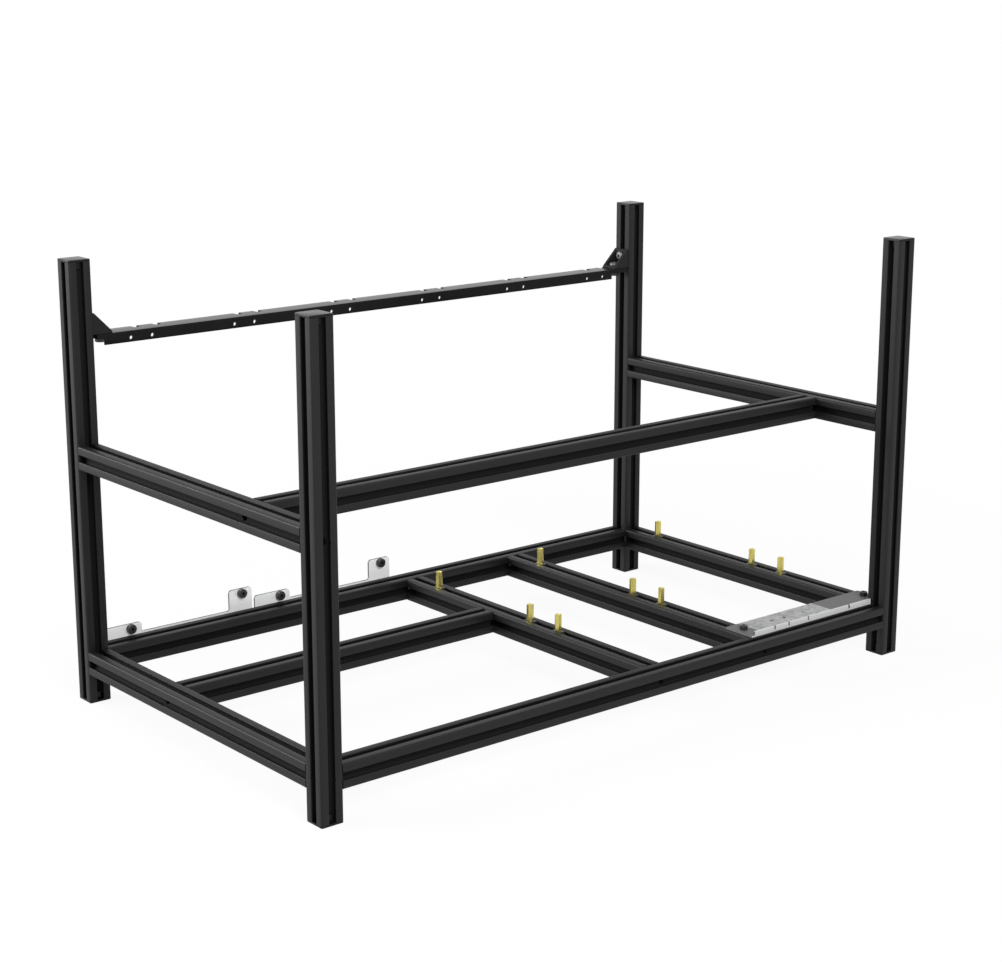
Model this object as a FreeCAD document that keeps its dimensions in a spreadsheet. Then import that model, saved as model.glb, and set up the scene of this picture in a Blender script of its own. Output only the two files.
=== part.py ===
import FreeCAD, Part
import math
import os
import Sketcher
from FreeCAD import Placement, Rotation, Vector

# Open-air frame for graphics cards: black T-slot extrusions with blind screw joints.
# X is the long side, +Y points to the back and +Z is up.
# The origin is on the floor, midway between the four posts.

doc = FreeCAD.newDocument("open_rig_frame")

# Driving sizes in millimetres
SIZES = {
    "frame_length": 640,
    "frame_depth": 366,
    "frame_height": 381,
    "profile_size": 20,
    "profile_corner_radius": 1.5,
    "slot_opening": 6.2,
    "slot_lip": 1.8,
    "slot_cavity_width": 11,
    "slot_cavity_side": 1.6,
    "slot_depth": 6,
    "core_bore": 5,
    "access_hole": 7,
    "bottom_rail_underside": 26,
    "middle_rail_underside": 206,
    "card_beam_setback": 101.5,
    "power_supply_depth": 140,
    "board_wide_column": 157.48,
    "board_narrow_column": 124.46,
    "board_row_setback": 58.6,
    "board_long_row": 132.08,
    "board_short_row": 38.1,
    "cap_thickness": 2,
    "cap_chamfer": 0.6,
    "cap_tongue_length": 6,
    "card_bar_drop": 63.5,
    "card_bar_flange": 20,
    "card_bar_flange_wall": 4,
    "card_bar_lip": 9.5,
    "card_bar_lip_wall": 2,
    "card_bar_gap": 3,
    "card_bar_bend": 0.8,
    "card_lip_left_cut": 7,
    "card_lip_right_cut": 20,
    "card_lip_hole_rise": 3.6,
    "card_end_inset": 42,
    "card_slot_gap": 20.32,
    "card_screw_hole": 3.2,
    "card_notch_shift": 13.3,
    "card_notch_width": 6,
    "card_notch_depth": 8,
    "bracket_leg": 18,
    "bracket_width": 18,
    "bracket_wall": 2.5,
    "bracket_web": 2.5,
    "bracket_toe": 1.5,
    "bracket_hole_offset": 11,
    "supply_sheet": 2,
    "supply_bracket_length": 152,
    "supply_bracket_pitch": 155,
    "supply_bracket_inset": 6,
    "supply_low_ear": 38,
    "supply_tall_ear": 24,
    "supply_ear_margin": 4,
    "supply_ear_radius": 3,
    "supply_web_rise": 1.2,
    "supply_skirt": 18,
    "supply_low_hole_inset": 26.5,
    "supply_tall_hole_inset": 11.5,
    "supply_low_hole_rise": 6,
    "supply_tall_hole_rise": 16,
    "supply_fixing_inset": 40,
    "tray_sheet": 1.5,
    "tray_ear_half_width": 8.5,
    "tray_reach": 5,
    "tray_depth": 33,
    "tray_post_gap": 0.5,
    "tray_lip_inset": 4,
    "tray_lip_rise": 3.5,
    "tray_notch": 2,
    "tray_notch_first": 20.8,
    "tray_notch_second": 38.6,
    "tray_notch_third": 63.7,
    "tray_notch_fourth": 117.4,
    "tray_hole": 4,
    "tray_hole_first": 37.7,
    "tray_hole_second": 53.7,
    "tray_hole_third": 78.5,
    "tray_hole_setback": 19.6,
    "tray_fixing_setback": 18,
    "standoff_height": 15,
    "standoff_across_flats": 5.5,
    "standoff_stud": 3,
    "standoff_bore": 2.5,
    "standoff_bore_depth": 9,
    "t_nut_length": 10,
    "t_nut_floor_gap": 1.2,
    "joint_screw_grip": 12,
    "joint_head_play": 0.8,
    "button_head_height": 2.7,
    "button_socket": 3,
    "socket_floor": 1.1,
    "fixing_screw": 5,
    "fixing_head": 9,
    "tray_screw": 4,
    "tray_head": 7,
    "tray_head_height": 4,
    "tray_socket": 3,
    "thumb_screw": 3.5,
    "thumb_head": 8.5,
    "thumb_head_height": 4.5,
    "thumb_socket": 3,
    "thumb_screw_length": 6,
    "hex_nut_across_flats": 8,
    "hex_nut_height": 4,
    "thread_clearance": 0.05,
    "hole_clearance": 0.25,
    "sliding_clearance": 0.2,
}
CARD_COUNT = 6
SLOT_COUNT = 4

sheet = doc.addObject("Spreadsheet::Sheet", "sizes")
for row, (alias, value) in enumerate(SIZES.items(), start=1):
    sheet.set(f"A{row}", alias)
    sheet.set(f"B{row}", str(value))
    sheet.setAlias(f"B{row}", alias)
doc.recompute()


class Size:
    """A length from the sheet: its number now, and the expression that keeps it bound."""

    def __init__(self, number, text):
        self.number = number
        self.text = text

    @staticmethod
    def of(value):
        if isinstance(value, Size):
            return value
        return Size(float(value), f"({float(value)})")

    def __add__(self, other):
        other = Size.of(other)
        return Size(self.number + other.number, f"({self.text} + {other.text})")

    def __sub__(self, other):
        other = Size.of(other)
        return Size(self.number - other.number, f"({self.text} - {other.text})")

    def __mul__(self, factor):
        factor = Size.of(factor)
        return Size(self.number * factor.number, f"({self.text} * {factor.text})")

    def __truediv__(self, divisor):
        divisor = Size.of(divisor)
        return Size(self.number / divisor.number, f"({self.text} / {divisor.text})")

    def __neg__(self):
        return self * -1

    __radd__ = __add__
    __rmul__ = __mul__


def size(alias):
    return Size(float(sheet.get(alias)), f"sizes.{alias}")


ZERO = Size.of(0)
UP = Vector(0, 0, 1)
ALONG_X = Vector(1, 0, 0)
ALONG_Y = Vector(0, 1, 0)

# Places that several pieces share
profile = size("profile_size")
half_profile = profile / 2
post_x = size("frame_length") / 2 - half_profile
post_y = size("frame_depth") / 2 - half_profile
inner_x = post_x - half_profile
inner_y = post_y - half_profile
rear_face = post_y + half_profile
bottom_middle = size("bottom_rail_underside") + half_profile
bottom_top = size("bottom_rail_underside") + profile
middle_middle = size("middle_rail_underside") + half_profile
crossbar_middle_x = post_x - size("board_wide_column")
crossbar_inner_x = crossbar_middle_x - size("board_narrow_column")
card_beam_y = size("card_beam_setback") - rear_face
supply_beam_y = rear_face - size("power_supply_depth")
card_bar_top = size("frame_height") - size("card_bar_drop")
board_rows = [rear_face - size("board_row_setback")]
board_rows.append(board_rows[0] - size("board_long_row"))
board_rows.append(board_rows[1] - size("board_short_row"))

slot_half = size("slot_opening") / 2
slot_lip = size("slot_lip")
cavity_half = size("slot_cavity_width") / 2
cavity_bevel = slot_lip + size("slot_cavity_side")
floor_half = cavity_half - (size("slot_depth") - cavity_bevel)
sliding = size("sliding_clearance")
joint_shank = size("core_bore") - size("thread_clearance") * 2
nut_depth = size("slot_depth") - size("t_nut_floor_gap")

nodes = []


def register(piece, label):
    """Names a finished piece after the file that it is written to."""
    piece.Label = label
    nodes.append(piece)
    return piece


def new_body(label):
    return register(doc.addObject("PartDesign::Body", label), label)


def origin_plane(body, role):
    return next(feature for feature in body.Origin.OriginFeatures if feature.Role == role)


def attached_sketch(body, name, plane, offset):
    """An empty sketch on one of the body's own planes, moved along the plane's normal."""
    sketch = body.newObject("Sketcher::SketchObject", name)
    sketch.AttachmentSupport = [(origin_plane(body, plane), "")]
    sketch.MapMode = "FlatFace"
    offset = Size.of(offset)
    sketch.AttachmentOffset = Placement(UP * offset.number, Rotation())
    sketch.setExpression("AttachmentOffset.Base.z", offset.text)
    return sketch


def fix_point(sketch, geometry, point, place):
    """Holds one sketch point at its two sizes from the sketch's origin."""
    for kind, distance in zip(("DistanceX", "DistanceY"), place):
        distance = Size.of(distance)
        index = sketch.addConstraint(Sketcher.Constraint(kind, -1, 1, geometry, point, distance.number))
        sketch.setExpression(f"Constraints[{index}]", distance.text)


def outline_sketch(body, name, plane, outlines, offset=ZERO):
    """Closed outlines of straight lines, each a list of corners given as pairs of sizes."""
    sketch = attached_sketch(body, name, plane, offset)
    for corners in outlines:
        first = sketch.GeometryCount
        count = len(corners)
        points = [Vector(Size.of(x).number, Size.of(y).number, 0) for x, y in corners]
        for index in range(count):
            sketch.addGeometry(Part.LineSegment(points[index], points[(index + 1) % count]), False)
        for index in range(count):
            following = first + (index + 1) % count
            sketch.addConstraint(Sketcher.Constraint("Coincident", first + index, 2, following, 1))
        for index, corner in enumerate(corners):
            fix_point(sketch, first + index, 1, corner)
    return sketch


def rectangle(low, high):
    return [low, (high[0], low[1]), high, (low[0], high[1])]


def circle_sketch(body, name, plane, centres, diameter, offset=ZERO):
    """Round holes of one diameter, each centre given as a pair of sizes."""
    sketch = attached_sketch(body, name, plane, offset)
    for x, y in centres:
        centre = Vector(Size.of(x).number, Size.of(y).number, 0)
        index = sketch.addGeometry(Part.Circle(centre, UP, diameter.number / 2), False)
        constraint = sketch.addConstraint(Sketcher.Constraint("Diameter", index, diameter.number))
        sketch.setExpression(f"Constraints[{constraint}]", diameter.text)
        fix_point(sketch, index, 3, (x, y))
    return sketch


def pad(body, name, sketch, length, reverse=False):
    feature = body.newObject("PartDesign::Pad", name)
    feature.Profile = sketch
    feature.Reversed = reverse
    feature.setExpression("Length", length.text)
    doc.recompute()
    return feature


def pocket(body, name, sketch, length=None, reverse=False):
    """Cuts a sketch out of the body, through everything when no length is given."""
    before = body.Shape.Volume
    feature = body.newObject("PartDesign::Pocket", name)
    feature.Profile = sketch
    feature.Reversed = reverse
    if length is None:
        feature.Type = "ThroughAll"
    else:
        feature.setExpression("Length", length.text)
    doc.recompute()
    if body.Shape.Volume >= before:
        raise RuntimeError(f"{body.Label}: {name} cuts nothing")
    return feature


def edge_names(shape, wanted):
    return [f"Edge{number}" for number, edge in enumerate(shape.Edges, start=1) if wanted(edge)]


def dress_edges(body, kind, name, wanted, amount):
    """Rounds or chamfers the chosen edges of what the body holds so far."""
    base = body.Tip
    feature = body.newObject(f"PartDesign::{kind}", name)
    feature.Base = (base, edge_names(base.Shape, wanted))
    feature.setExpression("Radius" if kind == "Fillet" else "Size", amount.text)
    doc.recompute()
    return feature


def runs_along(edge, direction):
    if edge.Curve.TypeId != "Part::GeomLine":
        return False
    return abs(edge.Curve.Direction.dot(direction)) > 0.999


def is_upright(edge):
    return runs_along(edge, UP)


def polar_pattern(body, name, feature, sketch, count):
    pattern = body.newObject("PartDesign::PolarPattern", name)
    pattern.Originals = [feature]
    pattern.Axis = (sketch, ["N_Axis"])
    pattern.Angle = 360
    pattern.Occurrences = count
    body.Tip = pattern
    doc.recompute()
    return pattern


def linear_pattern(body, name, feature, sketch, length, count):
    pattern = body.newObject("PartDesign::LinearPattern", name)
    pattern.Originals = [feature]
    pattern.Direction = (sketch, ["H_Axis"])
    pattern.setExpression("Length", length.text)
    pattern.Occurrences = count
    body.Tip = pattern
    doc.recompute()
    return pattern


def put(piece, place, rotation=Rotation()):
    """Stands a piece in the frame, its base bound to the sheet."""
    sizes = [Size.of(value) for value in place]
    piece.Placement = Placement(Vector(*[value.number for value in sizes]), rotation)
    for axis, value in zip("xyz", sizes):
        piece.setExpression(f"Placement.Base.{axis}", value.text)


# T-slot extrusions: a square bar with round corners, four undercut slots and a bore tapped at both ends.
# Each blind joint has a key hole drilled through the bar that holds the screw head.

RUN = {
    "x": Rotation(ALONG_Y, 90),
    "y": Rotation(ALONG_X, -90),
    "z": Rotation(),
}
FACES = {
    "front": ("XZ_Plane", half_profile, False),
    "back": ("XZ_Plane", -half_profile, True),
    "left": ("YZ_Plane", -half_profile, True),
    "right": ("YZ_Plane", half_profile, False),
}


def extrusion(label, run, start, length, key_holes=()):
    body = new_body(label)
    square = rectangle((-half_profile, -half_profile), (half_profile, half_profile))
    pad(body, "bar", outline_sketch(body, "section", "XY_Plane", [square]), length)
    dress_edges(body, "Fillet", "corners", is_upright, size("profile_corner_radius"))
    mouth = half_profile + slot_lip
    under_lip = half_profile - slot_lip
    bevel = half_profile - cavity_bevel
    floor = half_profile - size("slot_depth")
    half_slot = [
        (slot_half, mouth),
        (slot_half, under_lip),
        (cavity_half, under_lip),
        (cavity_half, bevel),
        (floor_half, floor),
    ]
    other_half = [(-x, y) for x, y in reversed(half_slot)]
    slot_sketch = outline_sketch(body, "slot_section", "XY_Plane", [half_slot + other_half])
    slot = pocket(body, "slot", slot_sketch, reverse=True)
    polar_pattern(body, "slots", slot, slot_sketch, SLOT_COUNT)
    bore_sketch = circle_sketch(body, "bore_section", "XY_Plane", [(0, 0)], size("core_bore"))
    pocket(body, "bore", bore_sketch, reverse=True)
    for number, (face, along) in enumerate(key_holes, start=1):
        plane, offset, reverse = FACES[face]
        name = f"key_hole_{number}"
        sketch = circle_sketch(body, f"{name}_mark", plane, [(0, along)], size("access_hole"), offset)
        pocket(body, name, sketch, profile - size("slot_depth"), reverse)
    put(body, start, RUN[run])
    return body


cap_plate = size("cap_thickness")
post_length = size("frame_height") - cap_plate * 2
long_rail = inner_x * 2
short_rail = inner_y * 2
sides = {"left": -1, "right": 1}
ends = {"front": -1, "back": 1}

for end, end_sign in ends.items():
    for side, side_sign in sides.items():
        low_joint = bottom_middle - cap_plate
        drilled = [(end, low_joint), (end, middle_middle - cap_plate), (side, low_joint)]
        start = (post_x * side_sign, post_y * end_sign, cap_plate)
        extrusion(f"post_{end}_{side}", "z", start, post_length, drilled)

crossbars = {"inner": crossbar_inner_x, "middle": crossbar_middle_x}
for end, end_sign in ends.items():
    drilled = [(end, place + inner_x) for place in crossbars.values()]
    extrusion(f"bottom_rail_{end}", "x", (-inner_x, post_y * end_sign, bottom_middle), long_rail, drilled)

supply_joint = supply_beam_y + inner_y
card_joint = card_beam_y + inner_y
for side, side_sign in sides.items():
    drilled = [("left", supply_joint)] if side == "left" else []
    extrusion(f"bottom_rail_{side}", "y", (post_x * side_sign, -inner_y, bottom_middle), short_rail, drilled)
    start = (post_x * side_sign, -inner_y, middle_middle)
    extrusion(f"middle_rail_{side}", "y", start, short_rail, [(side, card_joint)])

extrusion("card_beam", "x", (-inner_x, card_beam_y, middle_middle), long_rail)
for name, place in crossbars.items():
    drilled = [("right", supply_joint)] if name == "inner" else []
    extrusion(f"board_crossbar_{name}", "y", (place, -inner_y, bottom_middle), short_rail, drilled)
supply_beam_end = crossbar_inner_x - half_profile
extrusion("power_supply_beam", "x", (-inner_x, supply_beam_y, bottom_middle), supply_beam_end + inner_x)

# Post caps and foot caps: a moulded plate with a tongue in each slot.
# The foot caps have a hole in line with the post's bore.


def end_cap(label, place, turn):
    cap = new_body(label)
    square = rectangle((-half_profile, -half_profile), (half_profile, half_profile))
    pad(cap, "plate", outline_sketch(cap, "plate_outline", "XY_Plane", [square]), cap_plate)
    dress_edges(cap, "Fillet", "corners", is_upright, size("profile_corner_radius"))
    top = cap_plate.number
    dress_edges(cap, "Chamfer", "rim", lambda edge: edge.CenterOfMass.z > top - 1e-6, size("cap_chamfer"))
    tongue_half = slot_half - sliding
    tongue_low = half_profile - size("slot_depth") + sliding
    tongue_outline = rectangle((-tongue_half, tongue_low), (tongue_half, half_profile - cavity_bevel))
    tongue_sketch = outline_sketch(cap, "tongue_outline", "XY_Plane", [tongue_outline])
    tongue = pad(cap, "tongue", tongue_sketch, size("cap_tongue_length"), reverse=True)
    polar_pattern(cap, "tongues", tongue, tongue_sketch, SLOT_COUNT)
    put(cap, place, turn)
    return cap


for end, end_sign in ends.items():
    for side, side_sign in sides.items():
        x = post_x * side_sign
        y = post_y * end_sign
        end_cap(f"post_cap_{end}_{side}", (x, y, post_length + cap_plate), Rotation())
        foot = end_cap(f"foot_cap_{end}_{side}", (x, y, cap_plate), Rotation(ALONG_X, 180))
        hole_sketch = circle_sketch(foot, "hole_mark", "XY_Plane", [(0, 0)], size("core_bore"))
        pocket(foot, "hole", hole_sketch, reverse=True)

# Card bar: a black angle with two screw holes in the lip and two open notches in the flange for each card.
# The lip is cut back at both ends to clear the nuts of the corner brackets.
bar_length = (inner_x - size("card_bar_gap")) * 2
flange_wall = size("card_bar_flange_wall")
lip_wall = size("card_bar_lip_wall")
bar_lip = size("card_bar_lip")
bar_flange = size("card_bar_flange")
under_flange = bar_lip - flange_wall
card_bar = new_body("card_bar")
angle = [
    (ZERO, ZERO),
    (lip_wall, ZERO),
    (lip_wall, under_flange),
    (bar_flange, under_flange),
    (bar_flange, bar_lip),
    (ZERO, bar_lip),
]
pad(card_bar, "angle", outline_sketch(card_bar, "angle_section", "YZ_Plane", [angle]), bar_length)
bend_height = bar_lip.number


def is_outer_bend(edge):
    centre = edge.CenterOfMass
    return runs_along(edge, ALONG_X) and centre.y < 1e-6 and centre.z > bend_height - 1e-6


dress_edges(card_bar, "Fillet", "bend", is_outer_bend, size("card_bar_bend"))
lip_cuts = [
    rectangle((ZERO, ZERO), (size("card_lip_left_cut"), under_flange)),
    rectangle((bar_length - size("card_lip_right_cut"), ZERO), (bar_length, under_flange)),
]
pocket(card_bar, "lip_cuts", outline_sketch(card_bar, "lip_cut_outlines", "XZ_Plane", lip_cuts))
first_card = size("card_end_inset")
card_run = bar_length - first_card * 2
half_gap = size("card_slot_gap") / 2
card_columns = (first_card - half_gap, first_card + half_gap)
hole_centres = [(column, size("card_lip_hole_rise")) for column in card_columns]
hole_sketch = circle_sketch(card_bar, "hole_pair", "XZ_Plane", hole_centres, size("card_screw_hole"))
hole_pair = pocket(card_bar, "lip_holes", hole_sketch)
linear_pattern(card_bar, "lip_hole_row", hole_pair, hole_sketch, card_run, CARD_COUNT)
notch_columns = [column + size("card_notch_shift") for column in card_columns]
notch_width = size("card_notch_width")
notch_half = notch_width / 2
notch_end = bar_flange - size("card_notch_depth") + notch_half
notch_mouths = [rectangle((x - notch_half, notch_end), (x + notch_half, bar_flange)) for x in notch_columns]
mouth_sketch = outline_sketch(card_bar, "notch_mouths", "XY_Plane", notch_mouths, bar_lip)
mouth_pair = pocket(card_bar, "notches", mouth_sketch)
linear_pattern(card_bar, "notch_row", mouth_pair, mouth_sketch, card_run, CARD_COUNT)
notch_centres = [(x, notch_end) for x in notch_columns]
round_sketch = circle_sketch(card_bar, "notch_ends", "XY_Plane", notch_centres, notch_width, bar_lip)
round_pair = pocket(card_bar, "round_ends", round_sketch)
linear_pattern(card_bar, "round_end_row", round_pair, round_sketch, card_run, CARD_COUNT)
foot_hole = size("fixing_screw") + size("hole_clearance") * 2
foot_reach = size("bracket_hole_offset") - size("card_bar_gap")
foot_centres = [(place, bar_flange / 2) for place in (foot_reach, bar_length - foot_reach)]
foot_sketch = circle_sketch(card_bar, "bracket_hole_marks", "XY_Plane", foot_centres, foot_hole, bar_lip)
pocket(card_bar, "bracket_holes", foot_sketch)
bar_front = rear_face - bar_flange
put(card_bar, (-bar_length / 2, bar_front, card_bar_top - bar_lip))

# Corner brackets: die-cast angles with two triangular webs, one leg on the post and one on the card bar
leg = size("bracket_leg")
toe = size("bracket_toe")
wall = size("bracket_wall")
bracket_width = size("bracket_width")
hole_offset = size("bracket_hole_offset")
for side, side_sign in sides.items():
    bracket = new_body(f"corner_bracket_{side}")
    web = [(ZERO, ZERO), (leg, ZERO), (leg, toe), (toe, leg), (ZERO, leg)]
    web_sketch = outline_sketch(bracket, "web_outline", "XZ_Plane", [web], bracket_width / 2)
    pad(bracket, "casting", web_sketch, bracket_width, reverse=True)
    room = rectangle((wall, wall), (leg + wall, leg + wall))
    web_wall = size("bracket_web")
    room_sketch = outline_sketch(bracket, "room_outline", "XZ_Plane", [room], bracket_width / 2 - web_wall)
    pocket(bracket, "room", room_sketch, bracket_width - web_wall * 2)
    foot_sketch = circle_sketch(bracket, "foot_hole_mark", "XY_Plane", [(hole_offset, 0)], foot_hole)
    pocket(bracket, "foot_hole", foot_sketch, wall, reverse=True)
    leg_sketch = circle_sketch(bracket, "leg_hole_mark", "YZ_Plane", [(0, hole_offset)], foot_hole)
    pocket(bracket, "leg_hole", leg_sketch, wall, reverse=True)
    turn = Rotation(UP, 0 if side == "left" else 180)
    put(bracket, (inner_x * side_sign, rear_face - bar_flange / 2, card_bar_top), turn)

# Power supply brackets: blanked steel strips outside the back rail, with one low and one tall ear each
sheet_wall = size("supply_sheet")
strip = size("supply_bracket_length")
low_ear = size("supply_low_ear")
tall_ear = size("supply_tall_ear")
margin = size("supply_ear_margin")
skirt = size("supply_skirt")
low_rise = size("supply_low_hole_rise")
tall_rise = size("supply_tall_hole_rise")
web_rise = size("supply_web_rise")
thumb_places = [
    (size("supply_low_hole_inset"), low_rise),
    (strip - size("supply_tall_hole_inset"), tall_rise),
]
fixing_inset = size("supply_fixing_inset")
fixing_places = [(place, -half_profile) for place in (fixing_inset, strip - fixing_inset)]
supply_starts = [-inner_x + size("supply_bracket_inset")]
supply_starts.append(supply_starts[0] + size("supply_bracket_pitch"))
thumb_hole = size("thumb_screw") + size("hole_clearance") * 2
for side, start in zip(sides, supply_starts):
    bracket = new_body(f"power_supply_bracket_{side}")
    contour = [
        (ZERO, -skirt),
        (strip, -skirt),
        (strip, tall_rise + margin),
        (strip - tall_ear, tall_rise + margin),
        (strip - tall_ear, web_rise),
        (low_ear, web_rise),
        (low_ear, low_rise + margin),
        (ZERO, low_rise + margin),
    ]
    pad(bracket, "strip", outline_sketch(bracket, "contour", "XZ_Plane", [contour]), sheet_wall, reverse=True)
    ear_level = web_rise.number + 1e-3
    dress_edges(
        bracket,
        "Fillet",
        "ear_corners",
        lambda edge: runs_along(edge, ALONG_Y) and edge.CenterOfMass.z > ear_level,
        size("supply_ear_radius"),
    )
    thumb_sketch = circle_sketch(bracket, "thumb_marks", "XZ_Plane", thumb_places, thumb_hole)
    pocket(bracket, "thumb_holes", thumb_sketch)
    fixing_sketch = circle_sketch(bracket, "fixing_marks", "XZ_Plane", fixing_places, foot_hole)
    pocket(bracket, "fixing_holes", fixing_sketch)
    put(bracket, (start, rear_face, bottom_top))

# Tray plate: a steel plate across the crossbar and the right rail, its notched front lip on the front rail
ear_half = size("tray_ear_half_width")
tray_depth = size("tray_depth")
far_ear = size("board_wide_column")
far_end = far_ear + ear_half
front_end = inner_x - crossbar_middle_x - size("tray_post_gap")
shoulder = size("tray_reach") + size("tray_post_gap")
tray = new_body("tray_plate")
contour = [
    (-ear_half, ZERO),
    (front_end, ZERO),
    (front_end, shoulder),
    (far_end, shoulder),
    (far_end, tray_depth),
    (-ear_half, tray_depth),
]
tray_wall = size("tray_sheet")
pad(tray, "plate", outline_sketch(tray, "contour", "XY_Plane", [contour]), tray_wall)
notch = size("tray_notch")
lip_edges = [size("tray_lip_inset") - ear_half]
for place in ("first", "second", "third", "fourth"):
    middle = size(f"tray_notch_{place}")
    lip_edges += [middle - notch / 2, middle + notch / 2]
lip_edges.append(front_end)
lip_pieces = [rectangle((low, ZERO), (high, tray_wall)) for low, high in zip(lip_edges[::2], lip_edges[1::2])]
lip_sketch = outline_sketch(tray, "lip_outline", "XY_Plane", lip_pieces)
pad(tray, "lip", lip_sketch, tray_wall + size("tray_lip_rise"))
tray_holes = [size(f"tray_hole_{place}") for place in ("first", "second", "third")]
tray_marks = [(place, size("tray_hole_setback")) for place in tray_holes]
hole_sketch = circle_sketch(tray, "hole_marks", "XY_Plane", tray_marks, size("tray_hole"))
pocket(tray, "holes", hole_sketch, reverse=True)
tray_fixings = [(place, size("tray_fixing_setback")) for place in (ZERO, far_ear)]
tray_fixing_hole = size("tray_screw") + size("hole_clearance") * 2
fixing_sketch = circle_sketch(tray, "fixing_marks", "XY_Plane", tray_fixings, tray_fixing_hole)
pocket(tray, "fixing_holes", fixing_sketch, reverse=True)
tray_front = -inner_y - size("tray_reach")
put(tray, (crossbar_middle_x, tray_front, bottom_top))


# Standoffs, nuts and screws: like pieces are made once and copied to their places, one solid each.

def hex_prism(across_flats, height):
    corner = across_flats / math.sqrt(3)
    angles = [math.radians(60 * turn) for turn in range(7)]
    ring = [Vector(corner * math.cos(angle), corner * math.sin(angle), 0) for angle in angles]
    return Part.Face(Part.makePolygon(ring)).extrude(UP * height)


def screw(shank, length, head, socket):
    """A socket screw with its head's underside at the origin and its shank pointing down."""
    stem = Part.makeCylinder(shank / 2, length, UP * -length)
    top = head.BoundBox.ZMax
    drive = hex_prism(socket, top).translated(UP * size("socket_floor").number)
    return stem.fuse(head).cut(drive)


def button_head(diameter):
    """A low round head that tapers by its own height all round."""
    height = size("button_head_height").number
    return Part.makeCone(diameter / 2, (diameter - height) / 2, height)


def t_nut(bore):
    """A slide-in nut: its neck fills the slot opening, its shoulders bear under the lips."""
    neck = (slot_half - sliding).number
    shoulder = (cavity_half - sliding * 2).number
    bevel = -(cavity_bevel - sliding).number
    under_lip = -slot_lip.number
    foot = -nut_depth.number
    base = shoulder - (bevel - foot)
    half = [(neck, 0), (neck, under_lip), (shoulder, under_lip), (shoulder, bevel), (base, foot)]
    section = half + [(-y, z) for y, z in reversed(half)]
    start = -size("t_nut_length").number / 2
    ring = [Vector(start, y, z) for y, z in section]
    block = Part.Face(Part.makePolygon(ring + ring[:1])).extrude(ALONG_X * -2 * start)
    hole = Part.makeCylinder(bore / 2, -foot, Vector(0, 0, foot))
    return block.cut(hole)


def standoff():
    """A brass hex pillar with a stud below and a tapped bore above."""
    height = size("standoff_height").number
    depth = size("standoff_bore_depth").number
    pillar = hex_prism(size("standoff_across_flats").number, height)
    stud = Part.makeCylinder(size("standoff_stud").number / 2, nut_depth.number, UP * -nut_depth.number)
    bore = Part.makeCylinder(size("standoff_bore").number / 2, depth, UP * (height - depth))
    return pillar.fuse(stud).cut(bore)


def hex_nut(bore):
    height = size("hex_nut_height").number
    return hex_prism(size("hex_nut_across_flats").number, height).cut(Part.makeCylinder(bore / 2, height))


def group(label, shape, places):
    """Copies one shape to each place, a point with an outward and a run direction, as one node."""
    copies = []
    for point, outward, run in places:
        copy = shape.copy()
        across = outward.cross(run)
        copy.Placement = Placement(point, Rotation(run, across, outward, "ZXY"))
        copies.append(copy)
    feature = register(doc.addObject("Part::Feature", label), label)
    feature.Shape = Part.makeCompound(copies)
    return feature


def point(x, y, z):
    return Vector(*[Size.of(value).number for value in (x, y, z)])


thread = size("thread_clearance").number * 2
board_columns = [crossbar_inner_x, crossbar_middle_x, post_x]
standoff_places = [(point(x, y, bottom_top), UP, ALONG_Y) for x in board_columns for y in board_rows]
group("board_standoffs", standoff(), standoff_places)
group("standoff_t_nuts", t_nut(size("standoff_stud").number + thread), standoff_places)

# Blind joints: the head bears under the lips of one bar, the shank is screwed into the end bore of the other
joints = []
for side_sign in sides.values():
    for end_sign in ends.values():
        for level in (bottom_middle, middle_middle):
            joints.append((point(post_x * side_sign, inner_y * end_sign, level), ALONG_Y * end_sign))
for end_sign in ends.values():
    for side_sign in sides.values():
        joints.append((point(inner_x * side_sign, post_y * end_sign, bottom_middle), ALONG_X * side_sign))
    for place in crossbars.values():
        joints.append((point(place, inner_y * end_sign, bottom_middle), ALONG_Y * end_sign))
for side_sign in sides.values():
    joints.append((point(inner_x * side_sign, card_beam_y, middle_middle), ALONG_X * side_sign))
joints.append((point(-inner_x, supply_beam_y, bottom_middle), -ALONG_X))
joints.append((point(supply_beam_end, supply_beam_y, bottom_middle), ALONG_X))
joint_head = button_head((cavity_half - size("joint_head_play")).number * 2)
joint_length = (slot_lip + size("joint_screw_grip")).number
button_socket = size("button_socket").number
joint_screw = screw(joint_shank.number, joint_length, joint_head, button_socket)
joint_places = [(place + outward * slot_lip.number, outward, UP) for place, outward in joints]
group("joint_screws", joint_screw, joint_places)

# Fixing screws of the corner brackets and the power supply brackets, with the nuts that they turn into
fixing = size("fixing_screw").number


def fixing_screw(grip):
    return screw(fixing, grip.number, button_head(size("fixing_head").number), button_socket)


bracket_y = rear_face - bar_flange / 2
leg_level = card_bar_top + hole_offset
nut_level = card_bar_top - flange_wall
leg_screws = []
leg_nuts = []
foot_screws = []
foot_nuts = []
for side_sign in sides.values():
    inward = ALONG_X * -side_sign
    leg_nuts.append((point(inner_x * side_sign, bracket_y, leg_level), inward, UP))
    leg_screws.append((point((inner_x - wall) * side_sign, bracket_y, leg_level), inward, UP))
    foot_x = (inner_x - hole_offset) * side_sign
    foot_screws.append((point(foot_x, bracket_y, card_bar_top + wall), UP, ALONG_X))
    foot_nuts.append((point(foot_x, bracket_y, nut_level - size("hex_nut_height")), UP, ALONG_X))
group("bracket_post_screws", fixing_screw(wall + nut_depth), leg_screws)
group("bracket_post_t_nuts", t_nut(fixing + thread), leg_nuts)
group("bracket_bar_screws", fixing_screw(wall + flange_wall + size("hex_nut_height")), foot_screws)
group("bracket_bar_nuts", hex_nut(fixing + thread), foot_nuts)

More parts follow.
